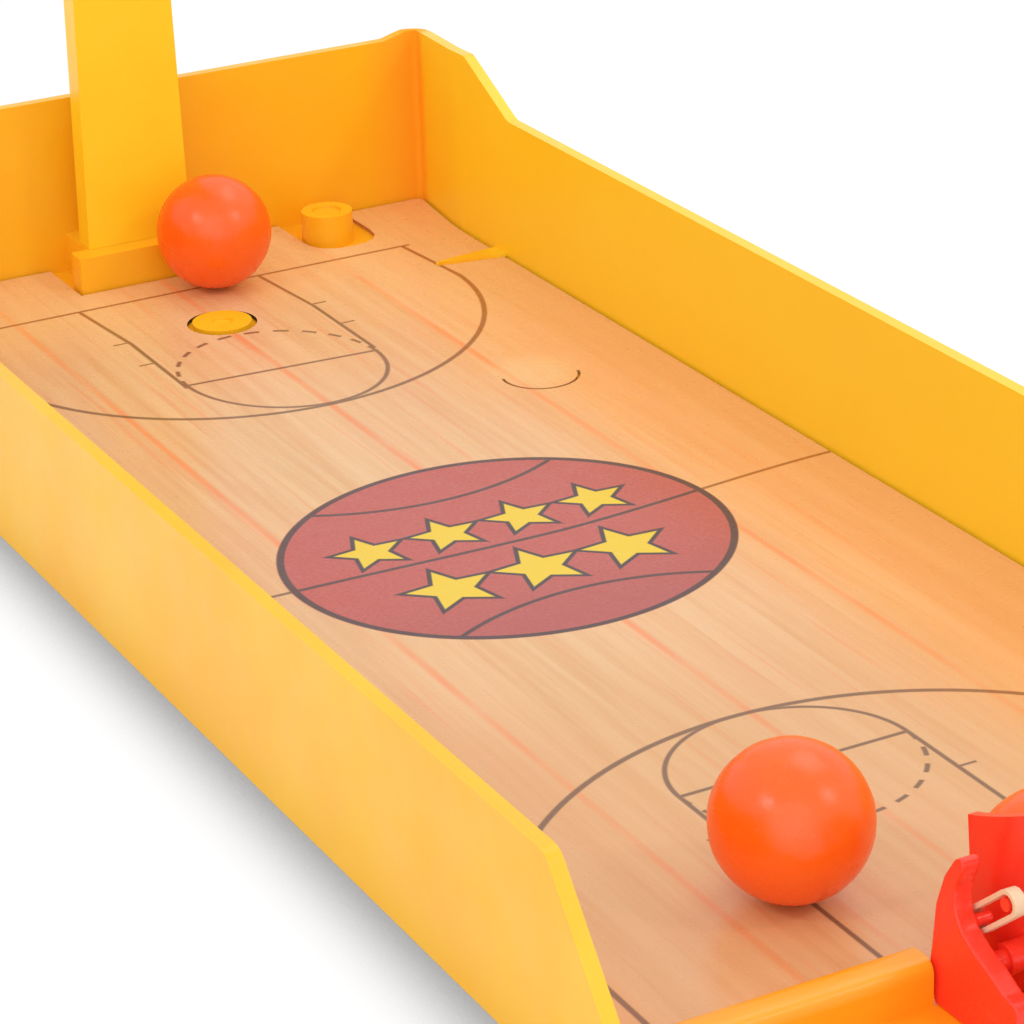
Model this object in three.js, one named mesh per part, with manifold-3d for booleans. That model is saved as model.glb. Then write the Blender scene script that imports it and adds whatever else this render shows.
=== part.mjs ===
// Tabletop basketball game: a shallow court tray with a printed court card, a finger
// launcher at the player's end, a plug-in hoop stand at the far end, and three small balls.
// Millimetres. +Z is up, +Y runs from the player to the hoop, +X is the player's right.
// The origin is on the tray's flat underside, below the centre spot of the court.

import * as THREE from 'three';
import { mergeVertices } from 'three/addons/utils/BufferGeometryUtils.js';
import Module from 'manifold-3d';

const wasm = await Module();
wasm.setup();

// Fits
const runningGap = 0.3;
const looseGap = 0.45;
const cutOverrun = 2;
const jointSink = 0.6;

// Ball
const ballDiameter = 20;
const ballRadius = ballDiameter / 2;

// Tray: a floor with two side walls and a back wall, one moulding
const trayWidth = 121.5;
const trayLength = 301.5;
const trayBack = 149.5;
const trayFront = trayLength - trayBack;
const trayWall = 2;
const trayFloor = 1.8;
const trayCornerRadius = 5;
const innerCornerRadius = 1.2;
const trayFrontRadius = 5;
const sideHeight = 28;
const backHeight = 33.6;
const cornerRise = 1.1;
const rampPeakRise = 1.3;
const cornerFlare = 2.4;
const flareFromBack = 21.5;
const flareBend = 80;
const lipHeight = 3.5;
const lipLength = 8;
const frontRampRun = 19.6;
const rimBendRadius = 3;
const backRampStart = 42;
const backRampRun = 16;
const backDipInset = 8.5;
const backDipRun = 4;
const backDipRadius = 2.5;
const halfWidth = trayWidth / 2;
const innerHalfWidth = halfWidth - trayWall;
const innerBack = trayBack - trayWall;
const frontRampFoot = -trayFront + lipLength;
const frontRampTop = frontRampFoot + frontRampRun;
const backRampFoot = trayBack - backRampStart;
const backRampTop = backRampFoot + backRampRun;
const cornerHeight = backHeight + cornerRise;
const rampPeak = cornerHeight + rampPeakRise;
const flareY = trayBack - flareFromBack;
const flaredHalf = halfWidth + flareAt(trayBack);

// Court card: printed board that lies on the floor
const cardThickness = 0.7;
const cardTop = trayFloor + cardThickness;
const cardHalfWidth = innerHalfWidth - looseGap;
const cardBack = innerBack - looseGap;
const cardCornerRadius = 1.5;
const liftTabX = 36.2;
const liftTabY = 55.5;
const liftTabRadius = 6.3;
const liftTabSlit = 0.5;
const liftTabTilt = -0.26;

// Stud under the hoop, in a hole of the card
const studX = 1.9;
const studFromBack = 43.3;
const studRadius = 5.1;
const studOverCard = 0.35;
const studDimpleRadius = 1.9;
const studDimpleDepth = 0.5;
const studHoleGap = 0.9;
const studY = trayBack - studFromBack;

// Two pegs beside the stand, in notches of the card
const pegX = 36.3;
const pegFromBack = 13.1;
const pegRadius = 4.7;
const pegTopRadius = 4.6;
const pegRise = 5.2;
const pegSkin = 1.5;
const pegDimpleRadius = 2.7;
const pegDimpleDepth = 0.5;
const notchShift = 1.6;
const notchHalfWidth = 6.7;
const notchFrontGap = 2.1;
const notchCornerRadius = 6.5;
const pegY = trayBack - pegFromBack;

// Two thin tongues on the side walls that hold the card down
const tongueFromBack = 38.1;
const tongueLength = 14.9;
const tongueRoot = 4.4;
const tongueThickness = 0.6;
const tongueTipShift = 0.5;
const tongueY = trayBack - tongueFromBack;

// Front sill that keeps balls on the court
const sillThickness = 5;
const sillRound = 1.9;
const sillRise = 5;
const sillFromFront = 15.4;
const sillSkin = 1.5;
const sillFrontY = -trayFront + sillFromFront;
const sillBackY = sillFrontY + sillThickness;
const cardFront = sillBackY + looseGap;

// Launcher cup: ball seat, half-round wall towards the player
const cupWall = 1.3;
const cupClearance = 0.5;
const cupDraft = 0.065;
const cupFloorGap = 0.4;
const cupFloor = 1.3;
const seatHoleRadius = 6;
const cupRimRise = 20.8;
const cupRimSlope = 0.35;
const cupHeelSlope = 0.62;
const cupBehindSill = 2.4;
const cupY = sillBackY - cupBehindSill;
const cupBottomZ = cardTop + cupFloorGap;
const cupFloorTop = cupBottomZ + cupFloor;
const cupRimZ = cardTop + cupRimRise;
const seatRise = Math.sqrt(ballRadius ** 2 - seatHoleRadius ** 2);
const seatedBallZ = cupFloorTop + seatRise + runningGap;
const cupOuterRadius = cupRadiusAt(cupRimZ);

// Launcher pivot: stub trunnions on the cup, in the bracket's cheeks
const pivotFromCup = 8.2;
const pivotRise = 6.5;
const trunnionRadius = 1.3;
const hubRadius = 1.9;
const pivotY = cupY - pivotFromCup;
const pivotZ = cardTop + pivotRise;

// Launcher bracket
const cheekThickness = 2.5;
const cheekGap = 3;
const cheekSkin = 0.7;
const cheekInnerX = cupOuterRadius + cheekGap;
const cheekOuterX = cheekInnerX + cheekThickness;
const cheekFrontOfCup = 0.9;
const cheekLength = 16.7;
const hornHeight = 20.6;
const bracketBase = 1.4;
const baseFromBack = 13.1;
const stopBarThickness = 2;
const stopBarRise = 7.5;
const stopBarEndGap = 0.4;
const lugLength = 5;
const lugThickness = 1.8;
const lugInset = 3.6;
const cheekBackY = cupY - cheekFrontOfCup;
const cheekFrontY = cheekBackY - cheekLength;
const baseBackY = cheekBackY - baseFromBack;

// Finger paddle on the lever
const paddleLength = 25;
const paddleThickness = 2.2;
const paddleRootWidth = 13;
const paddleTipWidth = 19;
const paddleLift = 7;
const paddleRootRise = 14.2;
const paddleRibHeight = 2.6;
const paddleRibThickness = 1.5;
const paddleRibX = 4.2;
const paddleRibShare = 0.72;
const paddleTipRadius = 6.3;
const gripRidges = 4;
const gripRidgeHeight = 0.5;
const gripRidgeWidth = 1;
const gripRidgeRadius = 0.3;
const gripPitch = 2.6;
const gripInset = 2.6;

// Rubber return bands, one each side, from a lever peg to a bracket hook
const bandPegRadius = 0.8;
const bandThickness = 0.6;
const bandWidth = 1.6;
const bandPegFromPivotY = -2.8;
const bandPegFromPivotZ = 9;
const bandHookFromPivotY = 2.7;
const bandHookFromPivotZ = 4.3;
const bandSideGap = 0.5;
const bandOuterX = cheekInnerX - bandSideGap;
const bandInnerX = bandOuterX - bandWidth;
const bandPegEnd = bandOuterX + bandSideGap / 2;

// Stand socket block against the back wall
const blockWidth = 26.2;
const blockDepth = 15;
const blockLip = 4.6;
const blockRise = 6.4;
const blockCornerRadius = 0.8;
const socketWall = 1.9;
const blockTop = cardTop + blockRise;
const blockFront = innerBack - blockDepth;
const blockHalfWidth = blockWidth / 2;

// Post
const postFromBlockFront = 4;
const postDepth = 4.6;
const postFootWidth = 19.4;
const postTopWidth = 15;
const postTopZ = 148;
const postFace = 1.8;
const postFlange = 1.7;
const postRib = 1.6;
const postBays = 5;
const postBayRadius = 1.6;
const footShoulder = 1.8;
const footSetback = 0.5;
const footRise = 0.8;
const postFront = blockFront + postFromBlockFront;
const postBack = postFront + postDepth;

// Backboard
const boardWidth = 92;
const boardHeight = 62;
const boardBottomZ = 98;
const boardThickness = 2.2;
const boardCornerRadius = 9;
const boardFrame = 3;
const boardFrameRise = 0.9;
const boardRibDepth = 1.6;
const boardRibThickness = 1.6;
const boardRibX = 27;
const sleeveWall = 1.8;
const sleeveDrop = 26;
const boardCardThickness = 0.5;
const boardBack = postFront - runningGap;
const boardFace = boardBack - boardThickness;
const boardTopZ = boardBottomZ + boardHeight;
const sleeveRoofZ = postTopZ + runningGap;
const sleeveBottomZ = sleeveRoofZ - sleeveDrop;
const boardHalfWidth = boardWidth / 2;

// Hoop
const rimClearance = 5;
const rimTube = 1.6;
const rimZ = 112;
const rimReach = 25.5;
const rimPlateMargin = 1.5;
const rimPlateHeight = 14;
const rimPlateThickness = 2;
const rimPlateRadius = 3;
const rimArmX = 7.5;
const rimArmWidth = 2.6;
const rimArmHeight = 2.6;
const rimPinFromPost = 1.4;
const rimPinZ = 3.5;
const rimPinRadius = 1.7;
const rimPinHead = 2.5;
const rimPinHeadLength = 1.3;
const rimSkirtLength = 3.2;
const rimSkirtWall = 1;
const rimSkirtBead = 0.5;
const rimPinX = postFootWidth / 2 + rimPinHead + rimPinFromPost;
const rimPlateWidth = 2 * (rimPinX + rimPinHead + rimPlateMargin);
const rimInnerRadius = ballRadius + rimClearance;
const rimRingRadius = rimInnerRadius + rimTube;
const rimY = boardFace - rimReach;

// Net: a soft moulded lattice pushed up on the hoop's skirt
const netDrop = 27;
const netBand = 1;
const netBandHeight = 2;
const netStrand = 0.6;
const netStrands = 8;
const netSteps = 7;
const netTwistShare = 0.3;
const netCurve = 1.6;
const netHemInner = 0.8;
const netHemHeight = 1.6;
const netTopZ = rimZ - rimTube - runningGap;
const netTopInner = rimInnerRadius + runningGap;
const netBottomInner = ballRadius + netHemInner;

// Round facets
const roundSides = 48;
const smallSides = 20;
const bendSteps = 4;

// Resting places of the two loose balls
const farBallX = 8.5;
const farBallFromBlock = 9.5;
const nearBallX = -19.7;
const nearBallFromSill = 22.7;

const yellow = { color: '#ffb21c', roughness: 0.38, metalness: 0 };
const red = { color: '#f3331c', roughness: 0.3, metalness: 0 };
const board = { color: '#f2efe8', roughness: 0.55, metalness: 0 };
const court = { color: '#efc088', roughness: 0.45, metalness: 0 };
const orange = { color: '#ff6a26', roughness: 0.32, metalness: 0 };
const white = { color: '#f4f4f0', roughness: 0.5, metalness: 0 };
const latex = { color: '#d9a878', roughness: 0.6, metalness: 0 };

// How far the side walls stand out at a place along the tray: they spread towards the back
function flareAt(y) {
  return cornerFlare * (y - flareY) / (innerBack - flareY);
}

// Outer radius of the cup's wall at a height: clear of the ball at its middle, plus the draft
function cupRadiusAt(z) {
  return ballRadius + cupClearance + cupWall + cupDraft * (z - seatedBallZ);
}

// A closed geometry as a solid that can be joined and cut
function solid(geometry) {
  const bare = geometry.index ? geometry.toNonIndexed() : geometry.clone();
  bare.deleteAttribute('normal');
  bare.deleteAttribute('uv');
  const merged = mergeVertices(bare);
  const vertProperties = new Float32Array(merged.attributes.position.array);
  const triVerts = new Uint32Array(merged.index.array);
  return new wasm.Manifold(new wasm.Mesh({ numProp: 3, vertProperties, triVerts }));
}

// A solid back as a flat-shaded geometry
function geometryOf(body) {
  const mesh = body.getMesh();
  const geometry = new THREE.BufferGeometry();
  geometry.setAttribute('position', new THREE.BufferAttribute(mesh.vertProperties, 3));
  geometry.setIndex(new THREE.BufferAttribute(mesh.triVerts, 1));
  const flat = geometry.toNonIndexed();
  flat.computeVertexNormals();
  return flat;
}

function joined(bodies) {
  return bodies.reduce((whole, body) => whole.add(body));
}

function cut(body, tools) {
  return tools.reduce((whole, tool) => whole.subtract(tool), body);
}

// Outline from corners [x, y, radius]; a corner without a radius stays sharp
function outline(corners) {
  const shape = new THREE.Shape();
  const count = corners.length;
  for (let i = 0; i < count; i += 1) {
    const [x, y, radius = 0] = corners[i];
    const [px, py] = corners[(i + count - 1) % count];
    const [nx, ny] = corners[(i + 1) % count];
    const before = new THREE.Vector2(px - x, py - y);
    const after = new THREE.Vector2(nx - x, ny - y);
    const turn = before.angleTo(after);
    const reach = Math.min(radius / Math.tan(turn / 2), before.length() / 2, after.length() / 2);
    before.setLength(reach);
    after.setLength(reach);
    if (i === 0) shape.moveTo(x + before.x, y + before.y);
    else shape.lineTo(x + before.x, y + before.y);
    if (reach > 0) shape.quadraticCurveTo(x, y, x + after.x, y + after.y);
  }
  shape.closePath();
  return shape;
}

function extruded(shape, depth) {
  return new THREE.ExtrudeGeometry(shape, { depth, bevelEnabled: false, curveSegments: bendSteps });
}

// Upright prism: outline in X and Y, from height z0 to z1
function prismZ(shape, z0, z1) {
  return solid(extruded(shape, z1 - z0).translate(0, 0, z0));
}

// Cross prism: outline in Y and Z, from x0 to x1
function prismX(shape, x0, x1) {
  const turn = new THREE.Matrix4().makeBasis(
    new THREE.Vector3(0, 1, 0), new THREE.Vector3(0, 0, 1), new THREE.Vector3(1, 0, 0));
  return solid(extruded(shape, x1 - x0).applyMatrix4(turn).translate(x0, 0, 0));
}

// Long prism: outline in X and Z, from y0 to y1
function prismY(shape, y0, y1) {
  const turn = new THREE.Matrix4().makeRotationX(Math.PI / 2);
  return solid(extruded(shape, y1 - y0).applyMatrix4(turn).translate(0, y1, 0));
}

function block(x0, x1, y0, y1, z0, z1) {
  const box = new THREE.BoxGeometry(x1 - x0, y1 - y0, z1 - z0);
  return solid(box.translate((x0 + x1) / 2, (y0 + y1) / 2, (z0 + z1) / 2));
}

function cylinderZ(x, y, z0, z1, lowRadius, topRadius = lowRadius, sides = roundSides) {
  const round = new THREE.CylinderGeometry(topRadius, lowRadius, z1 - z0, sides);
  return solid(round.rotateX(Math.PI / 2).translate(x, y, (z0 + z1) / 2));
}

function cylinderX(x0, x1, y, z, radius, sides = smallSides) {
  const round = new THREE.CylinderGeometry(radius, radius, x1 - x0, sides);
  return solid(round.rotateZ(Math.PI / 2).translate((x0 + x1) / 2, y, z));
}

function cylinderY(x, y0, y1, z, radius, sides = smallSides) {
  const round = new THREE.CylinderGeometry(radius, radius, y1 - y0, sides);
  return solid(round.translate(x, (y0 + y1) / 2, z));
}

// Both sides of a piece that is drawn on the right
function mirrored(body) {
  return body.add(body.mirror([1, 0, 0]));
}

function rectangle(x0, x1, y0, y1, radius = 0) {
  return outline([[x0, y0, radius], [x1, y0, radius], [x1, y1, radius], [x0, y1, radius]]);
}

// Walls and floor, with the rim's ramps and the dip in the back wall
function trayShell() {
  const outer = outline([
    [-halfWidth, -trayFront, trayFrontRadius], [halfWidth, -trayFront, trayFrontRadius],
    [halfWidth, flareY, flareBend], [flaredHalf, trayBack, trayCornerRadius],
    [-flaredHalf, trayBack, trayCornerRadius], [-halfWidth, flareY, flareBend]]);
  const innerFlared = innerHalfWidth + flareAt(innerBack);
  const inner = outline([
    [-innerHalfWidth, -trayFront - cutOverrun], [innerHalfWidth, -trayFront - cutOverrun],
    [innerHalfWidth, flareY, flareBend], [innerFlared, innerBack, innerCornerRadius],
    [-innerFlared, innerBack, innerCornerRadius], [-innerHalfWidth, flareY, flareBend]]);
  const above = rampPeak + cutOverrun;
  const sideCut = outline([
    [-trayFront - cutOverrun, lipHeight], [frontRampFoot, lipHeight, rimBendRadius],
    [frontRampTop, sideHeight, rimBendRadius], [backRampFoot, sideHeight, rimBendRadius],
    [backRampTop, rampPeak, rimBendRadius], [trayBack, cornerHeight],
    [trayBack + cutOverrun, cornerHeight],
    [trayBack + cutOverrun, above], [-trayFront - cutOverrun, above]]);
  const dipEnd = flaredHalf - backDipInset;
  const dipTop = dipEnd + backDipRun;
  const backCut = outline([
    [-dipTop, cornerHeight], [-dipEnd, backHeight, backDipRadius],
    [dipEnd, backHeight, backDipRadius], [dipTop, cornerHeight],
    [dipTop, above], [-dipTop, above]]);
  const reach = flaredHalf + cutOverrun;
  return cut(prismZ(outer, 0, rampPeak), [
    prismZ(inner, trayFloor, above),
    prismX(sideCut, -reach, reach),
    prismY(backCut, innerBack - trayCornerRadius, trayBack + cutOverrun)]);
}

// Low stud, cored pegs and card tongues
function trayFittings() {
  const studTop = cardTop + studOverCard;
  const stud = cut(cylinderZ(studX, studY, trayFloor - jointSink, studTop, studRadius), [
    cylinderZ(studX, studY, studTop - studDimpleDepth, studTop + cutOverrun, studDimpleRadius)]);
  const pegTop = cardTop + pegRise;
  const peg = cut(cylinderZ(pegX, pegY, trayFloor - jointSink, pegTop, pegRadius, pegTopRadius), [
    cylinderZ(pegX, pegY, pegTop - pegDimpleDepth, pegTop + cutOverrun, pegDimpleRadius)]);
  const tongue = prismZ(outline([
    [innerHalfWidth + jointSink, tongueY - tongueRoot / 2],
    [innerHalfWidth + jointSink, tongueY + tongueRoot / 2],
    [innerHalfWidth, tongueY + tongueRoot / 2],
    [innerHalfWidth - tongueLength, tongueY + tongueTipShift, tongueThickness],
    [innerHalfWidth, tongueY - tongueRoot / 2]]), cardTop, cardTop + tongueThickness);
  return joined([stud, mirrored(peg), mirrored(tongue)]);
}

function frontSill() {
  const top = cardTop + sillRise;
  const section = outline([
    [sillFrontY, trayFloor - jointSink], [sillBackY, trayFloor - jointSink],
    [sillBackY, top, sillRound], [sillFrontY, top, sillRound]]);
  return mirrored(prismX(section, cheekOuterX + looseGap, innerHalfWidth + jointSink));
}

// Hollows that keep the moulding's walls even, open to the underside
function trayCores() {
  const pegCore = cylinderZ(pegX, pegY, -cutOverrun, cardTop + pegRise - pegSkin,
    pegRadius - pegSkin, pegTopRadius - pegSkin);
  const sillGroove = block(
    cheekOuterX + looseGap + sillSkin, innerHalfWidth - sillSkin,
    sillFrontY + sillSkin, sillBackY - sillSkin, -cutOverrun, cardTop + sillRise - sillSkin);
  return [mirrored(pegCore), mirrored(sillGroove)];
}

// Wide lip in front of the post and a narrower socket from there to the back wall
function socketBlock() {
  const lipBack = blockFront + blockLip;
  const socketHalf = postFootWidth / 2 - footShoulder + runningGap + socketWall;
  return prismZ(outline([
    [-blockHalfWidth, blockFront, blockCornerRadius], [blockHalfWidth, blockFront, blockCornerRadius],
    [blockHalfWidth, lipBack, blockCornerRadius], [socketHalf, lipBack],
    [socketHalf, innerBack + jointSink], [-socketHalf, innerBack + jointSink],
    [-socketHalf, lipBack], [-blockHalfWidth, lipBack, blockCornerRadius]]),
  trayFloor - jointSink, blockTop);
}

// Post foot as a rectangle, grown by a clearance
function footBlock(clearance, z0, z1) {
  const halfFoot = postFootWidth / 2 - footShoulder;
  return block(-halfFoot - clearance, halfFoot + clearance,
    postFront + footSetback - clearance, postBack - footSetback + clearance, z0, z1);
}

// Bracket lugs that plug into the tray's floor, grown by a clearance
function bracketLugs(clearance, z0, z1) {
  const x = cheekInnerX - lugInset;
  const y = (baseBackY + cheekFrontY) / 2;
  return mirrored(block(
    x - lugLength / 2 - clearance, x + lugLength / 2 + clearance,
    y - lugThickness / 2 - clearance, y + lugThickness / 2 + clearance, z0, z1));
}

function tray() {
  const body = joined([trayShell(), trayFittings(), frontSill(), socketBlock()]);
  return cut(body, [
    ...trayCores(),
    footBlock(runningGap, -cutOverrun, blockTop + cutOverrun),
    bracketLugs(runningGap, -cutOverrun, trayFloor + cutOverrun)]);
}

// Half-moon slit that lets a finger lift the card
function liftSlit() {
  const shape = new THREE.Shape();
  const start = Math.PI + liftTabTilt;
  const end = 2 * Math.PI + liftTabTilt;
  shape.absarc(liftTabX, liftTabY, liftTabRadius + liftTabSlit / 2, start, end, false);
  shape.absarc(liftTabX, liftTabY, liftTabRadius - liftTabSlit / 2, end, start, true);
  shape.closePath();
  const depth = cardThickness + 2 * cutOverrun;
  const slit = new THREE.ExtrudeGeometry(shape, { depth, bevelEnabled: false, curveSegments: smallSides });
  return solid(slit.translate(0, 0, trayFloor - cutOverrun));
}

function courtCard() {
  const cardFlared = cardHalfWidth + flareAt(cardBack);
  const sheet = prismZ(outline([
    [-cardHalfWidth, cardFront], [cardHalfWidth, cardFront],
    [cardHalfWidth, flareY, flareBend], [cardFlared, cardBack, cardCornerRadius],
    [-cardFlared, cardBack, cardCornerRadius], [-cardHalfWidth, flareY, flareBend]]),
  trayFloor, cardTop);
  const low = trayFloor - cutOverrun;
  const high = cardTop + cutOverrun;
  const studHole = cylinderZ(studX, studY, low, high, studRadius + studHoleGap);
  const notchX = pegX + notchShift;
  const notchFront = pegY - pegRadius - notchFrontGap;
  const pegNotch = prismZ(outline([
    [notchX - notchHalfWidth, notchFront, notchCornerRadius],
    [notchX + notchHalfWidth, notchFront, notchCornerRadius],
    [notchX + notchHalfWidth, cardBack + cutOverrun],
    [notchX - notchHalfWidth, cardBack + cutOverrun]]), low, high);
  const blockNotch = block(-blockHalfWidth - looseGap, blockHalfWidth + looseGap,
    blockFront - looseGap, cardBack + cutOverrun, low, high);
  return cut(sheet, [studHole, mirrored(pegNotch), blockNotch, liftSlit()]);
}

// Side view of a bracket cheek as shares of its length, from the court, and of the horn's height
const cheekShares = [
  [0.08, 0], [0.02, 0.08], [0, 0.22], [0.03, 0.4], [0.06, 0.62], [0.15, 0.825], [0.27, 0.975],
  [0.34, 1], [0.36, 0.94], [0.27, 0.79], [0.27, 0.66], [0.353, 0.56], [0.503, 0.49],
  [0.689, 0.432], [0.844, 0.369], [0.96, 0.355], [1, 0.32], [1, 0]];

function cheekOutline() {
  const corners = cheekShares.map(([along, up]) => {
    const bend = up > 0 ? cheekThickness : 0;
    return [cheekBackY - along * cheekLength, trayFloor + up * hornHeight, bend];
  });
  return outline(corners.reverse());
}

// Two cheeks on a base, a stop bar under the paddle and a hook for each band
function launcherBracket() {
  const cheek = cut(prismX(cheekOutline(), cheekInnerX, cheekOuterX), [
    cylinderX(cheekInnerX - cutOverrun, cheekOuterX - cheekSkin, pivotY, pivotZ,
      trunnionRadius + runningGap)]);
  const hook = cylinderX(bandInnerX - runningGap, cheekInnerX + jointSink,
    pivotY + bandHookFromPivotY, pivotZ + bandHookFromPivotZ, bandPegRadius);
  const baseTop = trayFloor + bracketBase;
  const span = cheekInnerX + jointSink;
  const base = block(-span, span, cheekFrontY, baseBackY, trayFloor, baseTop);
  const stopTop = trayFloor + stopBarRise;
  const stopHalf = bandInnerX - stopBarEndGap;
  const stop = prismX(outline([
    [cheekFrontY, trayFloor], [cheekFrontY + stopBarThickness, trayFloor],
    [cheekFrontY + stopBarThickness, stopTop, stopBarThickness / 2],
    [cheekFrontY, stopTop, stopBarThickness / 2]]), -stopHalf, stopHalf);
  return joined([mirrored(cheek), mirrored(hook), base, stop,
    bracketLugs(0, runningGap, trayFloor + bracketBase / 2)]);
}

// Half-round wall round the player's side of the ball: it widens to the rim, which rises to the
// player, and its heel is cut away so that the lever can turn
function cupBody() {
  const reach = cupOuterRadius + cutOverrun;
  const highRim = cupRimZ + cupRimSlope * reach;
  const round = (thinner, z0, z1) => cylinderZ(0, cupY, z0, z1,
    cupRadiusAt(z0) - thinner, cupRadiusAt(z1) - thinner);
  const wall = cut(round(0, cupBottomZ, highRim), [
    round(cupWall, cupBottomZ - cutOverrun, highRim + cutOverrun),
    block(-reach, reach, cupY, cupY + reach, cupBottomZ - cutOverrun, highRim + cutOverrun)]);
  const floor = cut(round(0, cupBottomZ, cupFloorTop), [
    cylinderZ(0, cupY, cupBottomZ - cutOverrun, cupFloorTop + cutOverrun, seatHoleRadius)]);
  const rimCut = prismX(outline([
    [cupY - reach, highRim], [cupY + reach, cupRimZ - cupRimSlope * reach],
    [cupY + reach, highRim + cutOverrun], [cupY - reach, highRim + cutOverrun]]), -reach, reach);
  const heelEnd = cupY - reach;
  const heelCut = prismX(outline([
    [heelEnd, cupBottomZ - cutOverrun], [pivotY, cupBottomZ - cutOverrun], [pivotY, cupBottomZ],
    [heelEnd, cupBottomZ + cupHeelSlope * (pivotY - heelEnd)]]), -reach, reach);
  return cut(cut(wall, [rimCut]).add(floor), [heelCut]);
}

// Tapered finger paddle with two ribs below and grip ridges above
function paddle() {
  const rootZ = cardTop + paddleRootRise;
  const rootY = cupY - cupRadiusAt(rootZ) + cupWall / 2;
  const tipY = rootY - paddleLength;
  const slope = paddleLift / paddleLength;
  const heightAt = (y) => rootZ + (rootY - y) * slope;
  const plan = prismZ(outline([
    [-paddleRootWidth / 2, rootY], [-paddleTipWidth / 2, tipY, paddleTipRadius],
    [paddleTipWidth / 2, tipY, paddleTipRadius], [paddleRootWidth / 2, rootY]]),
  rootZ - paddleRibHeight - cutOverrun, rootZ + paddleLift + paddleThickness + gripRidgeHeight + cutOverrun);
  const slab = prismX(outline([
    [rootY, rootZ], [rootY, rootZ + paddleThickness],
    [tipY - cutOverrun, heightAt(tipY - cutOverrun) + paddleThickness],
    [tipY - cutOverrun, heightAt(tipY - cutOverrun)]]), -paddleTipWidth, paddleTipWidth);
  const ribEnd = rootY - paddleLength * paddleRibShare;
  const rib = prismX(outline([
    [rootY, rootZ + paddleThickness / 2], [ribEnd, heightAt(ribEnd) + paddleThickness / 2],
    [ribEnd, heightAt(ribEnd)], [rootY, rootZ - paddleRibHeight]]),
  paddleRibX - paddleRibThickness / 2, paddleRibX + paddleRibThickness / 2);
  const ridges = [];
  for (let i = 0; i < gripRidges; i += 1) {
    const y = tipY + gripInset + i * gripPitch;
    const top = heightAt(y) + paddleThickness;
    ridges.push(prismX(outline([
      [y, top - gripRidgeHeight], [y + gripRidgeWidth, top - gripRidgeHeight],
      [y + gripRidgeWidth, top + gripRidgeHeight, gripRidgeRadius],
      [y, top + gripRidgeHeight, gripRidgeRadius]]), -paddleTipWidth, paddleTipWidth));
  }
  return joined([slab, ...ridges]).intersect(plan).add(mirrored(rib));
}

// Half the width of the cup across a place in front of its centre, to the middle of its wall
function wallReach(fromCup, z) {
  return Math.sqrt(cupRadiusAt(z) ** 2 - fromCup ** 2) - cupWall / 2;
}

function launcherLever() {
  const start = wallReach(pivotFromCup, pivotZ);
  const trunnionEnd = cheekOuterX - cheekSkin - runningGap;
  const trunnion = cylinderX(start, trunnionEnd, pivotY, pivotZ, trunnionRadius);
  const hub = cylinderX(start, bandInnerX - runningGap, pivotY, pivotZ, hubRadius);
  const peg = cylinderX(paddleRibX, bandPegEnd, pivotY + bandPegFromPivotY,
    pivotZ + bandPegFromPivotZ, bandPegRadius);
  return joined([cupBody(), paddle(), mirrored(trunnion), mirrored(hub), mirrored(peg)]);
}

// Closed rubber loop round the lever's peg and the bracket's hook
function returnBand(side) {
  const pegY = pivotY + bandPegFromPivotY;
  const pegZ = pivotZ + bandPegFromPivotZ;
  const hookY = pivotY + bandHookFromPivotY;
  const hookZ = pivotZ + bandHookFromPivotZ;
  const along = Math.atan2(hookZ - pegZ, hookY - pegY);
  const inner = bandPegRadius + runningGap;
  const quarterTurn = Math.PI / 2;
  const loop = (path, radius) => {
    path.absarc(pegY, pegZ, radius, along + quarterTurn, along + 3 * quarterTurn, false);
    path.absarc(hookY, hookZ, radius, along - quarterTurn, along + quarterTurn, false);
    path.closePath();
    return path;
  };
  const shape = loop(new THREE.Shape(), inner + bandThickness);
  shape.holes.push(loop(new THREE.Path(), inner));
  const x0 = side > 0 ? bandInnerX : -bandOuterX;
  const x1 = side > 0 ? bandOuterX : -bandInnerX;
  return prismX(shape, x0, x1);
}

// Tapered post: a flat face with side flanges and cross ribs behind, and a narrower foot
function post() {
  const shoulderZ = blockTop;
  const halfWidthAt = (z) => {
    const share = (z - shoulderZ) / (postTopZ - shoulderZ);
    return (postFootWidth + (postTopWidth - postFootWidth) * share) / 2;
  };
  const blank = prismY(outline([
    [-halfWidthAt(shoulderZ), shoulderZ], [halfWidthAt(shoulderZ), shoulderZ],
    [halfWidthAt(postTopZ), postTopZ, postBayRadius],
    [-halfWidthAt(postTopZ), postTopZ, postBayRadius]]), postFront, postBack);
  const bayHeight = (postTopZ - shoulderZ - postRib) / postBays;
  const bays = [];
  for (let i = 0; i < postBays; i += 1) {
    const low = shoulderZ + postRib + i * bayHeight;
    const high = low + bayHeight - postRib;
    bays.push(prismY(outline([
      [-halfWidthAt(low) + postFlange, low, postBayRadius],
      [halfWidthAt(low) - postFlange, low, postBayRadius],
      [halfWidthAt(high) - postFlange, high, postBayRadius],
      [-halfWidthAt(high) + postFlange, high, postBayRadius]]),
    postFront + postFace, postBack + cutOverrun));
  }
  return cut(blank, bays).add(footBlock(0, footRise, shoulderZ + postRib / 2));
}

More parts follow.
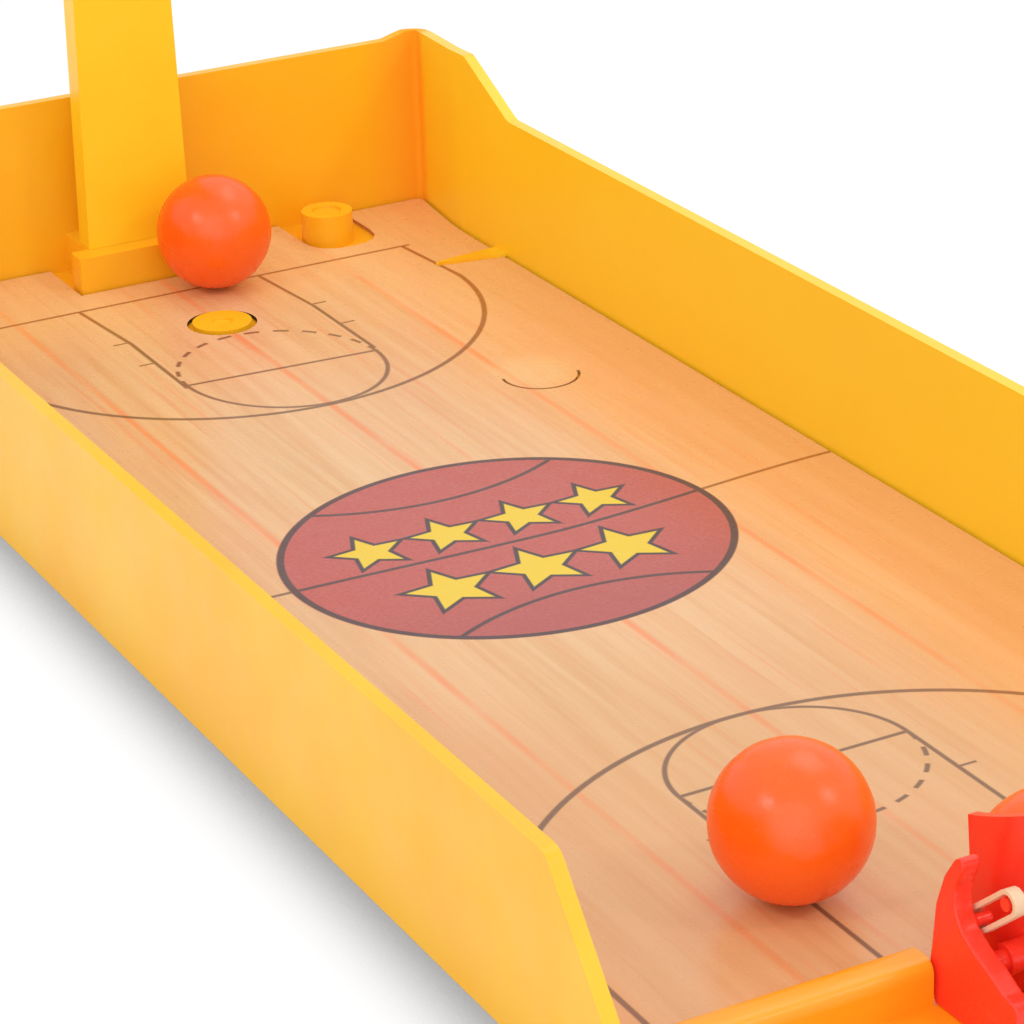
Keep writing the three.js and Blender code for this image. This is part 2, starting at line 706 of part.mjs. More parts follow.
// Board with a raised frame in front, ribs and the post's sleeve behind
function backboard() {
  const plate = (inset, radius) => rectangle(-boardHalfWidth + inset, boardHalfWidth - inset,
    boardBottomZ + inset, boardTopZ - inset, radius);
  const frontY = boardFace - boardFrameRise;
  const framed = cut(prismY(plate(0, boardCornerRadius), frontY, boardBack), [
    prismY(plate(boardFrame, boardCornerRadius - boardFrame), frontY - cutOverrun, boardFace)]);
  const sleeveHalf = postFootWidth / 2 + runningGap + sleeveWall;
  const sleeve = block(-sleeveHalf, sleeveHalf, boardBack - jointSink,
    postBack + runningGap + sleeveWall, sleeveBottomZ, sleeveRoofZ + sleeveWall);
  const postSpace = footSpace(sleeveBottomZ - cutOverrun, sleeveRoofZ);
  const rib = block(boardRibX, boardRibX + boardRibThickness, boardBack - jointSink,
    boardBack + boardRibDepth, boardBottomZ + boardFrame, boardTopZ - boardFrame);
  const crossZ = sleeveBottomZ;
  const cross = block(sleeveHalf - jointSink, boardHalfWidth - boardFrame, boardBack - jointSink,
    boardBack + boardRibDepth, crossZ, crossZ + boardRibThickness);
  const pinHoles = mirrored(cylinderY(rimPinX, frontY - cutOverrun, boardBack + cutOverrun,
    rimZ + rimPinZ, rimPinRadius + runningGap));
  return cut(joined([framed, sleeve, mirrored(rib), mirrored(cross)]), [postSpace, pinHoles]);
}

// Room for the post's top inside the sleeve
function footSpace(z0, z1) {
  const share = (z0 - blockTop) / (postTopZ - blockTop);
  const lowHalf = (postFootWidth + (postTopWidth - postFootWidth) * share) / 2 + runningGap;
  const highHalf = postTopWidth / 2 + runningGap;
  return prismY(outline([[-lowHalf, z0], [lowHalf, z0], [highHalf, z1], [-highHalf, z1]]),
    boardBack, postBack + runningGap);
}

function backboardCard() {
  const inset = boardFrame + runningGap;
  const sheet = prismY(rectangle(-boardHalfWidth + inset, boardHalfWidth - inset,
    boardBottomZ + inset, boardTopZ - inset, boardCornerRadius - boardFrame),
  boardFace - boardCardThickness, boardFace);
  const half = rimPlateWidth / 2 + runningGap;
  const plateCut = block(-half, half, boardFace - cutOverrun, boardFace + cutOverrun,
    rimZ + rimPinZ - rimPlateHeight / 2 - runningGap, rimZ + rimPinZ + rimPlateHeight / 2 + runningGap);
  return cut(sheet, [plateCut]);
}

// Ring, skirt for the net, two arms, and a plate with two snap pins
function hoopRim() {
  const ring = new THREE.TorusGeometry(rimRingRadius, rimTube, smallSides / 2, roundSides);
  const ringBody = solid(ring.translate(0, rimY, rimZ));
  const skirtOuter = rimInnerRadius;
  const skirtInner = skirtOuter - rimSkirtWall;
  const low = rimZ - rimSkirtLength;
  const profile = [
    [skirtInner, rimZ], [skirtInner, low], [skirtOuter, low],
    [skirtOuter, rimZ - rimTube], [skirtOuter + rimSkirtBead, rimZ], [skirtInner, rimZ]];
  const skirt = new THREE.LatheGeometry(
    profile.map(([r, z]) => new THREE.Vector2(r, z)), roundSides);
  const skirtBody = solid(skirt.rotateX(Math.PI / 2).translate(0, rimY, 0));
  const plateBack = boardFace;
  const plateFront = plateBack - rimPlateThickness;
  const pinZ = rimZ + rimPinZ;
  const plate = prismY(rectangle(-rimPlateWidth / 2, rimPlateWidth / 2,
    pinZ - rimPlateHeight / 2, pinZ + rimPlateHeight / 2, rimPlateRadius), plateFront, plateBack);
  const armReach = Math.sqrt(rimRingRadius ** 2 - rimArmX ** 2);
  const arm = block(rimArmX - rimArmWidth / 2, rimArmX + rimArmWidth / 2,
    rimY + armReach, plateBack - rimPlateThickness / 2, rimZ - rimArmHeight / 2, rimZ + rimArmHeight / 2);
  const headStart = boardBack + runningGap;
  const pin = cylinderY(rimPinX, plateBack - rimPlateThickness / 2, headStart + rimPinHeadLength,
    pinZ, rimPinRadius);
  const head = cylinderY(rimPinX, headStart, headStart + rimPinHeadLength, pinZ, rimPinHead);
  return joined([ringBody, skirtBody, plate, mirrored(arm), mirrored(pin), mirrored(head)]);
}

// Radius of the net's strand line at a share of its depth
function netRadius(share) {
  const top = netTopInner + netBand / 2;
  const bottom = netBottomInner + netStrand;
  return bottom + (top - bottom) * (1 - share) ** netCurve;
}

function netStrandBody(start, twist) {
  const top = netTopZ - netBandHeight / 2;
  const run = netDrop - netBandHeight / 2 - netHemHeight / 2;
  const points = [];
  for (let i = 0; i <= netSteps; i += 1) {
    const share = i / netSteps;
    const angle = start + twist * share;
    const radius = netRadius(share);
    points.push(new THREE.Vector3(
      radius * Math.cos(angle), rimY + radius * Math.sin(angle), top - run * share));
  }
  const section = outline([[netStrand, 0], [0, netStrand], [-netStrand, 0], [0, -netStrand]]);
  const extrudePath = new THREE.CatmullRomCurve3(points);
  return solid(new THREE.ExtrudeGeometry(section, { steps: netSteps, extrudePath }));
}

function ringBand(inner, thickness, z0, z1) {
  return cut(cylinderZ(0, rimY, z0, z1, inner + thickness), [
    cylinderZ(0, rimY, z0 - cutOverrun, z1 + cutOverrun, inner)]);
}

function hoopNet() {
  const pieces = [
    ringBand(netTopInner, netBand, netTopZ - netBandHeight, netTopZ),
    ringBand(netBottomInner, 2 * netStrand, netTopZ - netDrop, netTopZ - netDrop + netHemHeight)];
  const twist = netTwistShare * 2 * Math.PI;
  for (let i = 0; i < netStrands; i += 1) {
    const start = i / netStrands * 2 * Math.PI;
    pieces.push(netStrandBody(start, twist));
    pieces.push(netStrandBody(start, -twist));
  }
  return joined(pieces);
}

function ball() {
  return new THREE.SphereGeometry(ballRadius, roundSides / 2, roundSides / 4);
}

function mesh(name, geometry, look) {
  const piece = new THREE.Mesh(geometry, new THREE.MeshStandardMaterial(look));
  piece.name = name;
  return piece;
}

function placedBall(name, x, y, z) {
  const piece = mesh(name, ball(), orange);
  piece.position.set(x, y, z);
  return piece;
}

const game = new THREE.Group();
game.name = 'tabletop_basketball';

const courtGroup = new THREE.Group();
courtGroup.add(mesh('tray', geometryOf(tray()), yellow));
courtGroup.add(mesh('court_card', geometryOf(courtCard()), court));
game.add(courtGroup);

const launcherGroup = new THREE.Group();
launcherGroup.add(mesh('launcher_bracket', geometryOf(launcherBracket()), red));
launcherGroup.add(mesh('launcher_lever', geometryOf(launcherLever()), red));
launcherGroup.add(mesh('return_band_left', geometryOf(returnBand(-1)), latex));
launcherGroup.add(mesh('return_band_right', geometryOf(returnBand(1)), latex));
game.add(launcherGroup);

const standGroup = new THREE.Group();
standGroup.add(mesh('post', geometryOf(post()), yellow));
standGroup.add(mesh('backboard', geometryOf(backboard()), yellow));
standGroup.add(mesh('backboard_card', geometryOf(backboardCard()), board));
standGroup.add(mesh('hoop_rim', geometryOf(hoopRim()), red));
standGroup.add(mesh('hoop_net', geometryOf(hoopNet()), white));
game.add(standGroup);

const restZ = cardTop + runningGap + ballRadius;
game.add(placedBall('ball_far', farBallX, blockFront - farBallFromBlock, restZ));
game.add(placedBall('ball_near', nearBallX, sillBackY + nearBallFromSill, restZ));
game.add(placedBall('ball_loaded', 0, cupY, seatedBallZ));

export default game;
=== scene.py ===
import math

import bmesh
import bpy
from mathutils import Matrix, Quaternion, Vector, noise


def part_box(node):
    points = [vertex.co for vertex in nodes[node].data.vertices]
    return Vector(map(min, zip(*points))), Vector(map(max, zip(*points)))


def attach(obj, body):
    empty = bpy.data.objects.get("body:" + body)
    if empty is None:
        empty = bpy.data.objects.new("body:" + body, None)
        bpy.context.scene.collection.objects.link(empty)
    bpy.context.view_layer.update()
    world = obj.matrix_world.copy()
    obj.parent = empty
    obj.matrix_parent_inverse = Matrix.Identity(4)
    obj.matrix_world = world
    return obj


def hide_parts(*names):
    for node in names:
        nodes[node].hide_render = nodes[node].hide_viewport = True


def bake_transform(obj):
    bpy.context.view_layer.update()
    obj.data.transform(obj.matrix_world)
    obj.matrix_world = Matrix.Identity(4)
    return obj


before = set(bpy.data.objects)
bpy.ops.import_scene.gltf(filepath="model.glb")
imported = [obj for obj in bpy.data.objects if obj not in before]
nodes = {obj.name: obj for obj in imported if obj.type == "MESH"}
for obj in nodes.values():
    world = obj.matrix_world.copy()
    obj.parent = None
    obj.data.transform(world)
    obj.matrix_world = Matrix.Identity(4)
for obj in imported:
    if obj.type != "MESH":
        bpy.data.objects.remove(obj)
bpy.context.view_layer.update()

MM = 0.001

# Camera, solved from the photograph: angles in degrees, place in millimetres
CAMERA_AZIMUTH, CAMERA_ELEVATION, CAMERA_ROLL = -27.113, 23.333, -2.061
CAMERA_PLACE = (-214.73, -416.50, 212.56)
CAMERA_LENS, CAMERA_SENSOR = 123.69, 36.0
CAMERA_SHIFT = (0.01746, -0.02002)
CAMERA_CLIP = (0.02, 20.0)


def place_camera():
    """The camera at the photograph's angle."""
    data = bpy.data.cameras.new("camera")
    camera = bpy.data.objects.new("camera", data)
    bpy.context.scene.collection.objects.link(camera)
    data.sensor_width = CAMERA_SENSOR
    data.lens = CAMERA_LENS
    data.shift_x, data.shift_y = CAMERA_SHIFT
    data.clip_start, data.clip_end = CAMERA_CLIP
    azimuth, elevation = math.radians(CAMERA_AZIMUTH), math.radians(CAMERA_ELEVATION)
    back = Vector((math.sin(azimuth) * math.cos(elevation),
                   -math.cos(azimuth) * math.cos(elevation), math.sin(elevation)))
    turn = Quaternion((0, 0, 1), math.radians(CAMERA_ROLL))
    camera.rotation_mode = "QUATERNION"
    camera.rotation_quaternion = (-back).to_track_quat("-Z", "Y") @ turn
    camera.location = Vector(CAMERA_PLACE) * MM
    bpy.context.scene.camera = camera


place_camera()


class Graph:
    """A node material built from short calls. Lengths in it are millimetres."""

    def __init__(self, name):
        self.material = bpy.data.materials.new(name)
        self.material.use_nodes = True
        self.tree = self.material.node_tree
        self.tree.nodes.clear()
        self.output = self.tree.nodes.new("ShaderNodeOutputMaterial")
        self._place = None

    def node(self, kind, **settings):
        made = self.tree.nodes.new(kind)
        for key, value in settings.items():
            setattr(made, key, value)
        return made

    def link(self, source, socket):
        self.tree.links.new(source, socket)

    def put(self, socket, value):
        """Links a socket to another, or writes a constant into it."""
        if isinstance(value, bpy.types.NodeSocket):
            self.link(value, socket)
        elif isinstance(value, (tuple, list)) and len(value) == 3 and socket.type == "RGBA":
            socket.default_value = (*value, 1.0)
        else:
            socket.default_value = value

    def math(self, operation, a, b=None):
        made = self.node("ShaderNodeMath", operation=operation)
        for socket, value in zip(made.inputs, (a, b)):
            if value is not None:
                self.put(socket, value)
        return made.outputs[0]

    def add(self, a, b): return self.math("ADD", a, b)
    def sub(self, a, b): return self.math("SUBTRACT", a, b)
    def mul(self, a, b): return self.math("MULTIPLY", a, b)
    def div(self, a, b): return self.math("DIVIDE", a, b)
    def abs(self, a): return self.math("ABSOLUTE", a)
    def least(self, *values): return self._fold("MINIMUM", values)
    def most(self, *values): return self._fold("MAXIMUM", values)

    def _fold(self, operation, values):
        result = values[0]
        for value in values[1:]:
            result = self.math(operation, result, value)
        return result

    def length(self, a, b):
        """Length of the flat vector (a, b)."""
        return self.math("SQRT", self.add(self.mul(a, a), self.mul(b, b)))

    def place(self):
        """The point on the piece in millimetres: a vector socket."""
        if self._place is None:
            coords = self.node("ShaderNodeTexCoord").outputs["Object"]
            scaled = self.node("ShaderNodeVectorMath", operation="SCALE")
            self.put(scaled.inputs[0], coords)
            scaled.inputs["Scale"].default_value = 1 / MM
            self._place = scaled.outputs[0]
        return self._place

    def split(self, vector):
        made = self.node("ShaderNodeSeparateXYZ")
        self.put(made.inputs[0], vector)
        return made.outputs[0], made.outputs[1], made.outputs[2]

    def axes(self):
        """The point's x, y and z in millimetres."""
        return self.split(self.place())

    def stretched(self, scale, shift=(0, 0, 0)):
        """The point scaled and moved, for noise that runs one way."""
        made = self.node("ShaderNodeMapping")
        self.put(made.inputs["Vector"], self.place())
        made.inputs["Scale"].default_value = scale
        made.inputs["Location"].default_value = shift
        return made.outputs[0]

    def noise(self, scale, detail=3.0, roughness=0.5, vector=None, distortion=0.0):
        made = self.node("ShaderNodeTexNoise")
        self.put(made.inputs["Vector"], vector or self.place())
        made.inputs["Scale"].default_value = scale
        made.inputs["Detail"].default_value = detail
        made.inputs["Roughness"].default_value = roughness
        made.inputs["Distortion"].default_value = distortion
        return made.outputs["Fac"]

    def span(self, value, low, high, to_low=0.0, to_high=1.0, smooth=False):
        """Maps low..high to to_low..to_high and holds the ends."""
        made = self.node("ShaderNodeMapRange", clamp=True,
                         interpolation_type="SMOOTHSTEP" if smooth else "LINEAR")
        self.put(made.inputs["Value"], value)
        for key, number in (("From Min", low), ("From Max", high),
                            ("To Min", to_low), ("To Max", to_high)):
            self.put(made.inputs[key], number)
        return made.outputs["Result"]

    def mix(self, share, a, b):
        made = self.node("ShaderNodeMix", data_type="RGBA", blend_type="MIX")
        self.put(made.inputs["Factor"], share)
        self.put(made.inputs["A"], a)
        self.put(made.inputs["B"], b)
        return made.outputs["Result"]

    def bump(self, height, distance):
        made = self.node("ShaderNodeBump")
        made.inputs["Strength"].default_value = 1.0
        made.inputs["Distance"].default_value = distance * MM
        self.put(made.inputs["Height"], height)
        return made.outputs[0]

    def principled(self, **values):
        shader = self.node("ShaderNodeBsdfPrincipled")
        for key, value in values.items():
            self.put(shader.inputs[key.replace("_", " ")], value)
        self.link(shader.outputs[0], self.output.inputs["Surface"])

    def ink(self, distance, half_width, soft=0.14):
        """1 within half_width of a printed line, given the distance from its middle."""
        return self.span(distance, half_width - soft, half_width + soft, 1.0, 0.0)

    def within(self, value, low, high, soft=0.05):
        """1 between low and high."""
        return self.mul(self.span(value, low - soft, low + soft),
                        self.span(value, high - soft, high + soft, 1.0, 0.0))


def srgb(text):
    """A written colour as linear numbers."""
    values = [int(text[i:i + 2], 16) / 255 for i in (0, 2, 4)]
    return tuple(v / 12.92 if v <= 0.04045 else ((v + 0.055) / 1.055) ** 2.4 for v in values)


# Moulded plastic: noise scales per millimetre, and how light scatters below its skin
CLOUD_SCALE, GRAIN_SCALE, SCUFF_SCALE = 0.045, 1.9, (1.6, 0.12, 1.1)
GLOSS_SCALE, FLOW_SCALE, SKIN_SCALE = 0.11, 0.14, 3.2
SKIN_RIPPLE = 0.003
RIPPLE_DEPTH = 8
GRAIN_SHARE, SCUFF_SHARE, SCUFF_ROUGH = 0.22, 0.16, 0.12
SCATTER_RADIUS, SCATTER_SCALE = (1.0, 0.45, 0.12), 1.6
# Painted light and shade on the tray, in millimetres: painted light on the right wall's inner
# side, painted shade on the sill and in the back corners, and how strongly each shows
LIT_WALL_FROM_X, LIT_WALL_TO_Y = (54.0, 57.5), (143.0, 145.0)
SHADED_SILL_TO_Y, SHADED_SILL_TO_X = (-127.0, -124.0), (54.0, 56.0)
SHADED_CORNER_FROM_Y, SHADED_CORNER_FROM_X = (144.5, 146.5), (50.0, 60.0)
LIT_WALL_SHARE, SHADED_SILL_SHARE, SHADED_CORNER_SHARE, CORNER_ROUGH = 0.6, 0.75, 0.7, 0.5


def painted_tray_shading(g, tone, lit_wall_tone, shaded_sill_tone):
    """Painted light on the right wall, painted shade on the sill and back corners: returns the
    tone, and 1 in the shaded corners.
    """
    x, y, _ = g.axes()
    # Painted light: the right wall's inner side made paler
    lit_wall = g.mul(g.span(x, *LIT_WALL_FROM_X, 0.0, LIT_WALL_SHARE), g.span(y, *LIT_WALL_TO_Y, 1.0, 0.0))
    tone = g.mix(lit_wall, tone, lit_wall_tone)
    # Painted shade: the sill made a deeper orange
    shaded_sill = g.mul(g.span(y, *SHADED_SILL_TO_Y, 1.0, 0.0), g.span(g.abs(x), *SHADED_SILL_TO_X, 1.0, 0.0))
    tone = g.mix(g.mul(shaded_sill, SHADED_SILL_SHARE), tone, shaded_sill_tone)
    # Painted shade: the back corners made a deeper orange
    shaded_corner = g.mul(g.span(y, *SHADED_CORNER_FROM_Y), g.span(g.abs(x), *SHADED_CORNER_FROM_X))
    return g.mix(g.mul(shaded_corner, SHADED_CORNER_SHARE), tone, srgb("ffa200")), shaded_corner


def moulded(name, colour, deep, pale, roughness, ripple=0.012, glow=0.0, painted_light_zones=None):
    """Injection-moulded plastic: faint cloudiness, flow ripple, fine scuffs and a slight glow."""
    g = Graph(name)
    cloud = g.noise(CLOUD_SCALE, 4.0, 0.55)
    grain = g.noise(GRAIN_SCALE, 3.0, 0.6)
    scuff = g.span(g.noise(1.0, 5.0, 0.65, g.stretched(SCUFF_SCALE)), 0.60, 0.74)
    tone = g.mix(g.span(cloud, 0.32, 0.72), srgb(deep), srgb(colour))
    tone = g.mix(g.span(grain, 0.55, 0.9, 0.0, GRAIN_SHARE), tone, srgb(pale))
    tone = g.mix(g.mul(scuff, SCUFF_SHARE), tone, srgb(pale))
    # On the tray: painted light on the right wall, painted shade on the sill and back corners
    if painted_light_zones:
        tone, shaded_corner = painted_tray_shading(g, tone, *(srgb(zone) for zone in painted_light_zones))
    rough = g.span(g.noise(GLOSS_SCALE, 3.0), 0.3, 0.7, roughness - 0.05, roughness + 0.06)
    rough = g.add(rough, g.mul(scuff, SCUFF_ROUGH))
    if painted_light_zones:
        rough = g.add(rough, g.mul(shaded_corner, CORNER_ROUGH))
    height = g.add(g.noise(FLOW_SCALE, 2.0), g.mul(g.noise(SKIN_SCALE, 2.0), SKIN_RIPPLE / ripple))
    g.principled(Base_Color=tone, Roughness=rough, IOR=1.5,
                 Normal=g.bump(height, ripple * RIPPLE_DEPTH), Subsurface_Weight=glow,
                 Subsurface_Radius=SCATTER_RADIUS, Subsurface_Scale=SCATTER_SCALE * MM)
    return g.material


# The court print, in millimetres from the centre spot: half-width of a line, the middle line and
# its bend in the bowed card, the stud's hole with its painted shade, and the lift tab with its
# painted highlight
LINE, THIN_LINE, BOLD, BOLDER = 0.36, 0.26, 0.05, 0.1
HALF_Y = 0.6
LEFT_BEND, RIGHT_BEND = (-45.0, 12.0, 0.0, -1.6), (6.0, 60.0, 0.0, 4.0)
STUD_HOLE, STUD_GAP_PAINTED_SHADE = (1.9, 106.2), (7.0, 8.0)
LIFT_TAB, LIFT_TAB_PAINTED_LIGHT = (36.2, 57.5), (3.0, 10.0, 0.42, 0.0)
# Each end as printed: lane half-width, free-throw distance and its tilt, ring half-widths,
# arc centre, radius and half-width, where its straight sides start, and the ticks
FAR_END = dict(sign=1.0, base_y=124.5, lane=17.0, free=81.2, tilt=-0.07, ring=(16.6, 18.3, 18.1),
               arc=(0.9, 106.8, 44.5, 44.5, 106.8), ticks=(94.8, 106.0))
NEAR_END = dict(sign=-1.0, base_y=131.0, lane=17.1, free=80.6, tilt=0.0, ring=(17.1, 15.3, 15.9),
                arc=(0.5, 118.8, 53.5, 46.8, 92.6), ticks=(92.0, 104.0))
BASE_END_X, END_FROM_Y = (46.8, 47.0), (20.0, 20.1)
CUT, TICK = 0.05, 2.8
DASH_START, DASH_HALF_PITCH, DASH_EDGE = 0.06, 0.1361, (0.058, 0.068)


def end_lines(g, x, y, sign, base_y, lane, free, tilt, ring, arc, ticks):
    """1 on the printed lines of one end of the court."""
    ay = g.mul(y, sign)
    ax = g.abs(x)
    base = g.mul(g.ink(g.abs(g.sub(ay, base_y)), LINE), g.span(x, *BASE_END_X, 1.0, 0.0))
    sides = g.mul(g.ink(g.abs(g.sub(ax, lane)), LINE), g.within(ay, free, base_y))
    up = g.sub(g.sub(ay, free), g.mul(x, tilt))
    line = g.mul(g.ink(g.abs(up), LINE), g.span(ax, lane, lane + 2 * CUT, 1.0, 0.0))
    across, inner, outer = ring
    rings = [g.ink(g.abs(g.sub(g.length(x, g.mul(up, across / reach)), across)), LINE)
             for reach in (inner, outer)]
    solid = g.mul(rings[0], g.span(up, -CUT, CUT, 1.0, 0.0))
    dash = g.math("PINGPONG", g.add(g.math("ARCTAN2", up, x), DASH_START), DASH_HALF_PITCH)
    dashed = g.mul(g.mul(rings[1], g.span(up, -CUT, CUT)), g.span(dash, *DASH_EDGE))
    arc_x, arc_y, arc_radius, side, side_from = arc
    off = g.sub(x, arc_x * sign)
    bow = g.ink(g.abs(g.sub(g.length(off, g.sub(ay, arc_y)), arc_radius)), LINE + BOLDER)
    bow = g.mul(bow, g.span(ay, side_from - CUT, side_from + CUT, 1.0, 0.0))
    straight = g.mul(g.ink(g.abs(g.sub(g.abs(off), side)), LINE + BOLD),
                     g.within(ay, side_from, base_y))
    marks = [g.mul(g.ink(g.abs(g.sub(ay, place)), THIN_LINE), g.within(ax, lane, lane + TICK))
             for place in ticks]
    return g.mul(g.most(base, sides, line, solid, dashed, bow, straight, *marks),
                 g.span(ay, *END_FROM_Y))


def half_line(g, x, y, half_width):
    """1 on the line across the middle, which the card's bow bends a little."""
    bend = g.add(g.span(x, *LEFT_BEND, True), g.span(x, *RIGHT_BEND, True))
    return g.ink(g.abs(g.sub(g.sub(y, HALF_Y), bend)), half_width)


def court_lines(g, x, y):
    """1 where the court's thin brown lines are printed."""
    half = half_line(g, x, y, LINE)
    return g.most(half, end_lines(g, x, y, **FAR_END), end_lines(g, x, y, **NEAR_END))


STAR_INNER_SHARE = 0.46
STAR_EDGE = (-0.1, 0.1)


def star(g, x, y, radius):
    """Signed distance to a five-pointed star that points along +Y: below 0 inside."""
    fold = g.math("PINGPONG", g.abs(g.math("ARCTAN2", x, y)), math.pi / 5)
    distance = g.length(x, y)
    across = g.mul(distance, g.math("SINE", fold))
    along = g.mul(distance, g.math("COSINE", fold))
    inner = radius * STAR_INNER_SHARE
    nx = radius - inner * math.cos(math.pi / 5)
    ny = inner * math.sin(math.pi / 5)
    size = math.hypot(nx, ny)
    return g.sub(g.add(g.mul(across, nx / size), g.mul(along, ny / size)), radius * ny / size)


# Printed wood: narrow strips with their own tone, wide planks with warm joints, and the stretch
# of the grain along the court
STRIP, STRIP_START = 9.8, 60.0
PLANK, PLANK_JOINT, JOINT_EDGE = 30.2, 1.5, (0.15, 0.95, 1.0, 0.0)
STRIP_SHIFT, STRIP_DEPTH, GRAIN_STRETCH = 37.0, 11.0, 0.035
WARM_STRETCH, WARM_SHIFT = (0.9, 0.022, 1.0), (4.0, 9.0, 0.0)
FINE_STRETCH, FINE_SHIFT = (2.6, 0.05, 1.0), (1.0, 3.0, 0.0)


def wood_tone(g, x, y):
    """Pale printed planks along Y: soft streaks, faint seams and a few warm joints."""
    strips = g.div(g.add(x, STRIP_START), STRIP)
    white = g.node("ShaderNodeTexWhiteNoise", noise_dimensions="1D")
    g.put(white.inputs["W"], g.math("FLOOR", strips))
    strip_tone = white.outputs["Value"]
    grain_place = g.node("ShaderNodeCombineXYZ")
    g.put(grain_place.inputs[0], g.add(x, g.mul(strip_tone, STRIP_SHIFT)))
    g.put(grain_place.inputs[1], g.mul(y, GRAIN_STRETCH))
    g.put(grain_place.inputs[2], g.mul(strip_tone, STRIP_DEPTH))
    streak = g.noise(1.05, 4.0, 0.6, grain_place.outputs[0], 0.25)
    broad = g.noise(0.26, 3.0, 0.5, grain_place.outputs[0], 0.4)
    warm = g.span(g.noise(1.0, 2.0, 0.5, g.stretched(WARM_STRETCH, WARM_SHIFT)), 0.62, 0.72)
    patch = g.span(g.noise(0.018, 2.0), 0.40, 0.62)
    fine = g.span(g.noise(1.0, 4.0, 0.6, g.stretched(FINE_STRETCH, FINE_SHIFT)), 0.50, 0.68)
    seam = g.span(g.abs(g.sub(g.math("FRACT", strips), 0.5)), 0.485, 0.5, 0.0, 0.12)
    tone = g.mix(g.span(streak, 0.30, 0.70), srgb("d6a472"), srgb("e2ba86"))
    for share, colour in ((g.mul(fine, 0.15), "c08a58"),
                          (g.span(broad, 0.40, 0.68, 0.0, 0.7), "e9c698"),
                          (g.span(strip_tone, 0.0, 1.0, 0.0, 0.22), "e6b288"),
                          (g.mul(patch, 0.20), "f2b080"),
                          (g.mul(warm, 0.40), "ea8c62"),
                          (seam, "c48a5c")):
        tone = g.mix(share, tone, srgb(colour))
    from_joint = g.sub(x, PLANK_JOINT)
    nearest = g.mul(g.math("ROUND", g.div(from_joint, PLANK)), PLANK)
    joint = g.span(g.abs(g.sub(from_joint, nearest)), *JOINT_EDGE, True)
    faded = g.span(g.noise(0.05, 2.0), 0.35, 0.6, 0.25, 0.68)
    return g.mix(g.mul(joint, faded), tone, srgb("f0824e")), streak


# The roundel in the middle: its centre and half sizes, border, seams, shade and rows of stars,
# each row with its height, the stars' radius and pitch, and their count
EMBLEM_X, EMBLEM_Y, EMBLEM_LONG, EMBLEM_SHORT = 0.05, -0.9, 34.25, 31.4
EMBLEM_BORDER = (1.25, 1.05)
SEAM_LINE, SEAM_AWAY, SEAM_RADIUS = 0.40, 60.0, 41.0
EMBLEM_SHADE = (-30.0, -6.0, 0.30, 0.0)
STAR_ROWS = ((7.6, 5.4, 12.4, 4), (-9.8, 6.7, 14.2, 3))
STAR_OUTLINE = (0.6, 0.8)


def emblem(g, x, y, tone):
    """A plain ball roundel with seams and two rows of stars, over the given tone."""
    ex, ey = g.sub(x, EMBLEM_X), g.sub(y, EMBLEM_Y)
    radius = g.length(ex, g.mul(ey, EMBLEM_LONG / EMBLEM_SHORT))
    disc = g.ink(radius, EMBLEM_LONG)
    edge = g.mul(disc, g.span(radius, *(EMBLEM_LONG - inset for inset in EMBLEM_BORDER)))
    curves = [g.ink(g.abs(g.sub(g.length(ex, away), SEAM_RADIUS)), SEAM_LINE)
              for away in (g.sub(ey, SEAM_AWAY), g.add(ey, SEAM_AWAY))]
    seams = g.mul(disc, g.most(half_line(g, x, y, SEAM_LINE), *curves))
    brick = g.mix(g.span(g.noise(1.6, 4.0, 0.6), 0.35, 0.7), srgb("b5524e"), srgb("c4635a"))
    brick = g.mix(g.span(y, *EMBLEM_SHADE, True), brick, srgb("95484e"))
    tone = g.mix(disc, tone, brick)
    tone = g.mix(g.mul(g.most(edge, seams), 0.92), tone, srgb("3f3436"))
    shapes = []
    for centre_y, star_radius, pitch, count in STAR_ROWS:
        shift = 0.5 if count % 2 == 0 else 0.0
        reach = (count - 1) / 2
        snapped = g.add(g.math("ROUND", g.sub(g.div(ex, pitch), shift)), shift)
        snapped = g.least(g.most(snapped, -reach), reach)
        shapes.append(star(g, g.sub(ex, g.mul(snapped, pitch)), g.sub(ey, centre_y), star_radius))
    shape = g.least(*shapes)
    tone = g.mix(g.mul(g.span(shape, *STAR_OUTLINE, 1.0, 0.0), disc), tone, srgb("45343a"))
    return g.mix(g.mul(g.span(shape, *STAR_EDGE, 1.0, 0.0), disc), tone, srgb("e9c82c"))


# How far the print runs off square, and where the card carries a painted reflection of the yellow
# walls, painted light and a darker near end, along its length and width
SKEWS = ((-80.0, 0.0, -1.2, 0.0), (0.0, 60.0, 0.0, 1.7), (105.0, 124.0, 0.0, -1.7))
REFLECTION_RIGHT, REFLECTION_LEFT = (12.0, 54.0, 0.0, 1.0), (-56.0, -44.0, 0.7, 0.0)
REFLECTION_FAR, NEAR_END_DARKER = (96.0, 130.0, 0.0, 0.8), (-70.0, -30.0, 0.42, 0.0)
PAINTED_LIGHT_FAR, PAINTED_LIGHT_RIGHT = (60.0, 125.0, 0.0, 1.0), (44.0, 54.0, 0.0, 0.6)
REFLECTION_SHARE, INK_SHARE = 0.54, 0.86


